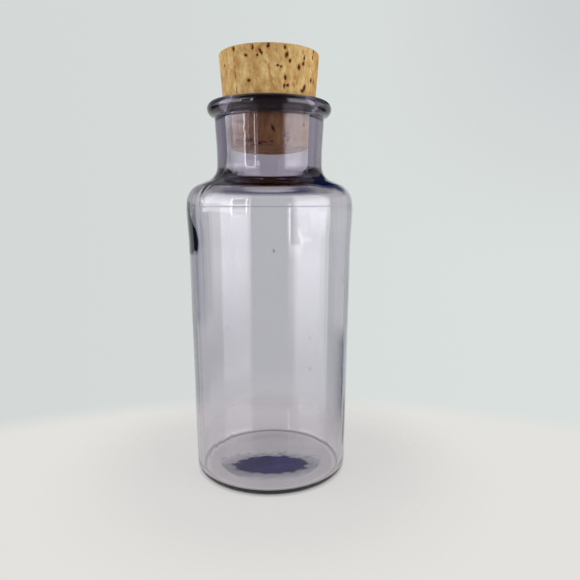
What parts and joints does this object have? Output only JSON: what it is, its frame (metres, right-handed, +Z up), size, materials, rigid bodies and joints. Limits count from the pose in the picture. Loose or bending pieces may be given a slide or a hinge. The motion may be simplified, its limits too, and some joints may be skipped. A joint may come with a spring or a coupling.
{
  "type": "apothecary bottle",
  "caption": "Hollow moulded glass bottle with a round tapered body, short neck, rolled lip and a cork stopper that lifts out.",
  "frame": {"origin": "centre of the resting ring, on the table", "axes": "+Z up along the bottle's axis, through the neck and the cork"},
  "size_m": [0.0608, 0.0608, 0.1528],
  "materials": {
    "glass": "clear grey-violet glass with a few seed bubbles, glossy",
    "cork": "natural cork with dark brown pores and fissures, matte",
    "residue": "dried dark indigo crust, matte"
  },
  "bodies": {
    "bottle_body": {"bottle": "glass", "dried_residue": "residue"},
    "cork_body": {"cork": "cork"}
  },
  "joints": [
    {"name": "cork_pull", "type": "slide", "parent": "bottle_body", "child": "cork_body", "axis": [0, 0, 1], "range_m": [0, 0.04]}
  ]
}
